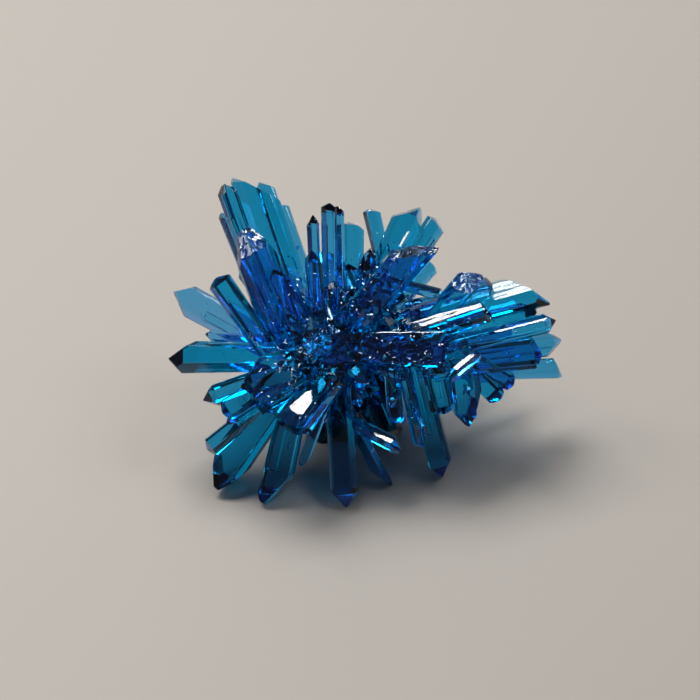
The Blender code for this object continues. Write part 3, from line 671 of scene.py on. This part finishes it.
def add_lump(target, centre, radii):
    """Add a rounded body whose radii lie along the display frame."""
    bm = bmesh.new()
    bmesh.ops.create_icosphere(bm, subdivisions=LUMP_SUBDIVISIONS, radius=1.0)
    for vertex in bm.verts:
        offset = [component * radius for component, radius in zip(vertex.co, radii)]
        vertex.co = display_to_world([base + step for base, step in zip(centre, offset)])
    bm.loops.layers.uv.new(GRAIN_LAYER)
    add_solid(target, bm)


def surface_tree(solids):
    """Search tree over the faces of all the solids."""
    corners = []
    faces = []
    for item in solids:
        first = len(corners)
        corners.extend(vertex.co for vertex in item.data.vertices)
        for polygon in item.data.polygons:
            faces.append([first + index for index in polygon.vertices])
    return BVHTree.FromPolygons(corners, faces)


def add_speck(target, seat, detail):
    """Add a sliver of crystal that lies on the surface with its flat top up."""
    tilt = math.radians(detail.uniform(0, SPECK_TILT))
    turn = detail.uniform(0, 2 * math.pi)
    up = Vector(SPECK_UP).normalized()
    up = (up + Vector((math.cos(turn), math.sin(turn), 0.0)) * math.tan(tilt)).normalized()
    along = up.cross(random_direction(detail)).normalized()
    width = detail.uniform(*SPECK_WIDTH)
    reach = along * (width * detail.uniform(*SPECK_LENGTH) / 2)
    outline = [(s * width, f * width) for s, f in SPECK_OUTLINE]
    bm = bmesh.new()
    add_prism(bm, seat - reach, seat + reach, (along, along.cross(up), up), [outline, outline], 0.0)
    bm.loops.layers.uv.new(GRAIN_LAYER)
    add_solid(target, bm)


def add_bead(target, seat, detail):
    """Add a low round droplet of clear crystal that sits on the surface."""
    bm = bmesh.new()
    radius = detail.uniform(*BEAD_RADIUS)
    bmesh.ops.create_icosphere(bm, subdivisions=BEAD_SUBDIVISIONS, radius=radius)
    bmesh.ops.scale(bm, verts=bm.verts[:], vec=(1.0, 1.0, BEAD_HEIGHT))
    turn = Vector((0.0, 0.0, 1.0)).rotation_difference(Vector(SPECK_UP))
    bmesh.ops.rotate(bm, verts=bm.verts[:], matrix=turn.to_matrix())
    bmesh.ops.translate(bm, verts=bm.verts[:], vec=seat)
    bm.loops.layers.uv.new(GRAIN_LAYER)
    add_solid(target, bm)


def add_specks(target, detail):
    """Dust the surface with specks and beads, from several sides."""
    tree = surface_tree(target.objects)
    origin = display_to_world((0.0, 0.0, 0.0))
    for view, middle, spread, count in SPECK_VIEWS:
        outward = (display_to_world(view) - origin).normalized()
        first = outward.orthogonal().normalized()
        if view == SHOWY_SIDE:
            first = Vector((1.0, 0.0, 0.0))
        second = outward.cross(first)
        start = display_to_world(middle) + outward * VIEW_DISTANCE
        for index in range(count):
            turn = detail.uniform(0, 2 * math.pi)
            reach = math.sqrt(detail.random())
            offset = first * (spread[0] * reach * math.cos(turn))
            offset += second * (spread[1] * reach * math.sin(turn))
            seat = tree.ray_cast(start + offset, -outward)[0]
            if seat is None or seat.z < CHIP_FLOOR:
                continue
            add_kind = add_speck if index % BEAD_EVERY else add_bead
            add_kind(target, seat, detail)


def add_flaw(target, centre, detail):
    """Add a thin lens-shaped gap, as a healed crack inside the crystal."""
    normal = random_direction(detail)
    first = normal.orthogonal().normalized()
    second = normal.cross(first)
    radius = detail.uniform(*FLAW_RADIUS)
    sides = detail.randint(*FLAW_SIDES)
    bm = bmesh.new()
    rim = []
    for index in range(sides):
        turn = 2 * math.pi * index / sides
        size = radius * detail.uniform(*FLAW_RIM)
        corner = centre + first * (size * math.cos(turn)) + second * (size * math.sin(turn))
        rim.append(bm.verts.new(corner))
    poles = [bm.verts.new(centre + normal * (sign * FLAW_THICKNESS / 2)) for sign in (-1, 1)]
    for index in range(sides):
        for pole in poles:
            bm.faces.new((rim[index], rim[(index + 1) % sides], pole))
    bm.loops.layers.uv.new(GRAIN_LAYER)
    add_solid(target, bm)


def add_flaws(target, detail):
    """Scatter healed cracks through the inner half of the named blades."""
    rows = list(BLADES.values())
    for _ in range(FLAW_COUNT):
        root, tip, width, thickness, roll, _, _ = detail.choice(rows)
        root, tip = display_to_world(root), display_to_world(tip)
        side, face = blade_axes(root, tip, roll)[1:]
        spot = root.lerp(tip, detail.uniform(*FLAW_PLACE))
        spot += side * (width * detail.uniform(-FLAW_SPREAD, FLAW_SPREAD))
        spot += face * (thickness * detail.uniform(-FLAW_SPREAD, FLAW_SPREAD))
        add_flaw(target, spot, detail)


def make_collection(name):
    """New collection in the scene."""
    made = bpy.data.collections.new(name)
    bpy.context.scene.collection.children.link(made)
    return made


def make_rock():
    """Block that stands for the rock below the resting plane."""
    bm = bmesh.new()
    bmesh.ops.create_cube(bm, size=ROCK_SIZE)
    bmesh.ops.translate(bm, verts=bm.verts[:], vec=(0.0, 0.0, -ROCK_SIZE / 2))
    return make_object("rock", bm, bpy.context.scene.collection)


def add_boolean(base, operation, **operand):
    """Join other solids to the base, or cut them away."""
    modifier = base.modifiers.new(operation.lower(), "BOOLEAN")
    modifier.operation = operation
    modifier.solver = "MANIFOLD"
    for name, value in operand.items():
        setattr(modifier, name, value)


def grown_solids():
    """Collection of all blades, lumps and specks, not yet joined."""
    growth = make_collection("growth")
    rng = random.Random(SMALL_SEED)
    for name in BLADES:
        add_named_blade(growth, name, rng)
    add_small_blades(growth, rng, random.Random(DETAIL_SEED))
    for centre, radii in LUMPS:
        add_lump(growth, centre, radii)
    add_specks(growth, random.Random(DETAIL_SEED))
    return growth


def joined_cluster():
    """All solids as one closed mesh with the scar and the flaws cut, in world millimetres."""
    growth = grown_solids()
    core = growth.objects[-1]    # any one solid can take in the others
    growth.objects.unlink(core)
    bpy.context.scene.collection.objects.link(core)
    flaws = make_collection("flaws")
    add_flaws(flaws, random.Random(DETAIL_SEED))
    rock = make_rock()

    add_boolean(core, "UNION", operand_type="COLLECTION", collection=growth)
    add_boolean(core, "DIFFERENCE", object=rock)
    add_boolean(core, "DIFFERENCE", operand_type="COLLECTION", collection=flaws)
    evaluated = core.evaluated_get(bpy.context.evaluated_depsgraph_get())
    cluster = bmesh.new()
    cluster.from_mesh(evaluated.to_mesh())
    for helper in [*growth.objects, *flaws.objects, rock, core]:
        bpy.data.objects.remove(helper, do_unlink=True)
    bpy.data.collections.remove(growth)
    bpy.data.collections.remove(flaws)
    return cluster


def build_cluster():
    """The finished crystal in metres, and the point that became the middle of its box."""
    cluster = joined_cluster()
    xs = [vertex.co.x for vertex in cluster.verts]
    ys = [vertex.co.y for vertex in cluster.verts]
    middle = Vector(((min(xs) + max(xs)) / 2, (min(ys) + max(ys)) / 2, 0.0))
    for vertex in cluster.verts:
        vertex.co = (vertex.co - middle) * MILLIMETRE
    return make_object("pentagonite", cluster, bpy.context.scene.collection), middle


def crystal_material():
    """Clear deep blue glass-like crystal with faint growth lines."""
    material = bpy.data.materials.new("pentagonite_glass")
    material.use_nodes = True
    tree = material.node_tree
    shader = tree.nodes["Principled BSDF"]
    output = tree.nodes["Material Output"]
    shader.inputs["Base Color"].default_value = CRYSTAL_COLOUR
    shader.inputs["Roughness"].default_value = CRYSTAL_ROUGHNESS
    shader.inputs["IOR"].default_value = CRYSTAL_IOR
    shader.inputs["Transmission Weight"].default_value = 1.0
    absorption = tree.nodes.new("ShaderNodeVolumeAbsorption")
    absorption.inputs["Color"].default_value = ABSORPTION_COLOUR
    absorption.inputs["Density"].default_value = ABSORPTION_DENSITY
    tree.links.new(absorption.outputs["Volume"], output.inputs["Volume"])

    grain = tree.nodes.new("ShaderNodeUVMap")
    stretch = tree.nodes.new("ShaderNodeMapping")
    stretch.inputs["Scale"].default_value = GRAIN_STRETCH
    lines = tree.nodes.new("ShaderNodeTexNoise")
    lines.inputs["Scale"].default_value = 1.0
    lines.inputs["Detail"].default_value = GRAIN_DETAIL
    bump = tree.nodes.new("ShaderNodeBump")
    bump.inputs["Strength"].default_value = GRAIN_BUMP
    bump.inputs["Distance"].default_value = GRAIN_HEIGHT
    tree.links.new(grain.outputs["UV"], stretch.inputs["Vector"])
    tree.links.new(stretch.outputs["Vector"], lines.inputs["Vector"])
    tree.links.new(lines.outputs["Fac"], bump.inputs["Height"])
    tree.links.new(bump.outputs["Normal"], shader.inputs["Normal"])
    return material


def make_floor():
    """Plain pale matt floor."""
    bm = bmesh.new()
    bmesh.ops.create_grid(bm, x_segments=1, y_segments=1, size=FLOOR_REACH)
    floor = make_object("floor", bm, bpy.context.scene.collection)
    material = bpy.data.materials.new("pale_floor")
    material.use_nodes = True
    shader = material.node_tree.nodes["Principled BSDF"]
    shader.inputs["Base Color"].default_value = FLOOR_COLOUR
    shader.inputs["Roughness"].default_value = FLOOR_ROUGHNESS
    floor.data.materials.append(material)


def sky_direction(azimuth, elevation):
    """Unit vector to a point of the sky; azimuth 0 is +Y and turns to +X."""
    a, e = math.radians(azimuth), math.radians(elevation)
    return Vector((math.sin(a) * math.cos(e), math.cos(a) * math.cos(e), math.sin(e)))


def add_light(name, azimuth, elevation, distance, size, radiance, colour):
    """Add a soft rectangular light that looks at the cluster."""
    data = bpy.data.lights.new(name, "AREA")
    data.shape = "RECTANGLE"
    data.size, data.size_y = size
    data.energy = radiance * math.pi * size[0] * size[1]
    data.color = colour
    light = bpy.data.objects.new(name, data)
    bpy.context.scene.collection.objects.link(light)
    direction = sky_direction(azimuth, elevation)
    light.location = Vector(LIGHT_TARGET) + direction * distance
    light.rotation_mode = "QUATERNION"
    light.rotation_quaternion = direction.to_track_quat("Z", "Y")


def make_studio():
    """Soft studio lights and a dim even surround."""
    for name, values in LIGHTS.items():
        add_light(name, *values)
    world = bpy.data.worlds.new("studio")
    world.use_nodes = True
    background = world.node_tree.nodes["Background"]
    background.inputs["Color"].default_value = SURROUND_COLOUR
    background.inputs["Strength"].default_value = SURROUND_STRENGTH
    bpy.context.scene.world = world


def make_camera(middle):
    """Camera that looks at the showy side along the display frame's outward direction."""
    data = bpy.data.cameras.new("camera")
    camera = bpy.data.objects.new("camera", data)
    bpy.context.scene.collection.objects.link(camera)
    data.lens = CAMERA_LENS
    data.sensor_width = CAMERA_SENSOR
    data.clip_start, data.clip_end = CAMERA_CLIP
    camera.location = (display_to_world(CAMERA_PLACE) - middle) * MILLIMETRE
    camera.rotation_euler = (math.radians(90 - DISPLAY_TILT), 0, 0)
    bpy.context.scene.camera = camera


def main():
    """Build the floor, the lights, the crystal and the camera, and tell the frame what it shows."""
    scene = bpy.context.scene
    scene.cycles.max_bounces = BOUNCES
    scene.cycles.transmission_bounces = BOUNCES
    scene.view_settings.view_transform = "Standard"
    make_floor()
    make_studio()
    cluster, middle = build_cluster()
    make_camera(middle)
    cluster.data.materials.append(crystal_material())
    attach(cluster, BODY_NAME)
    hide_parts(NODE_NAME)


main()
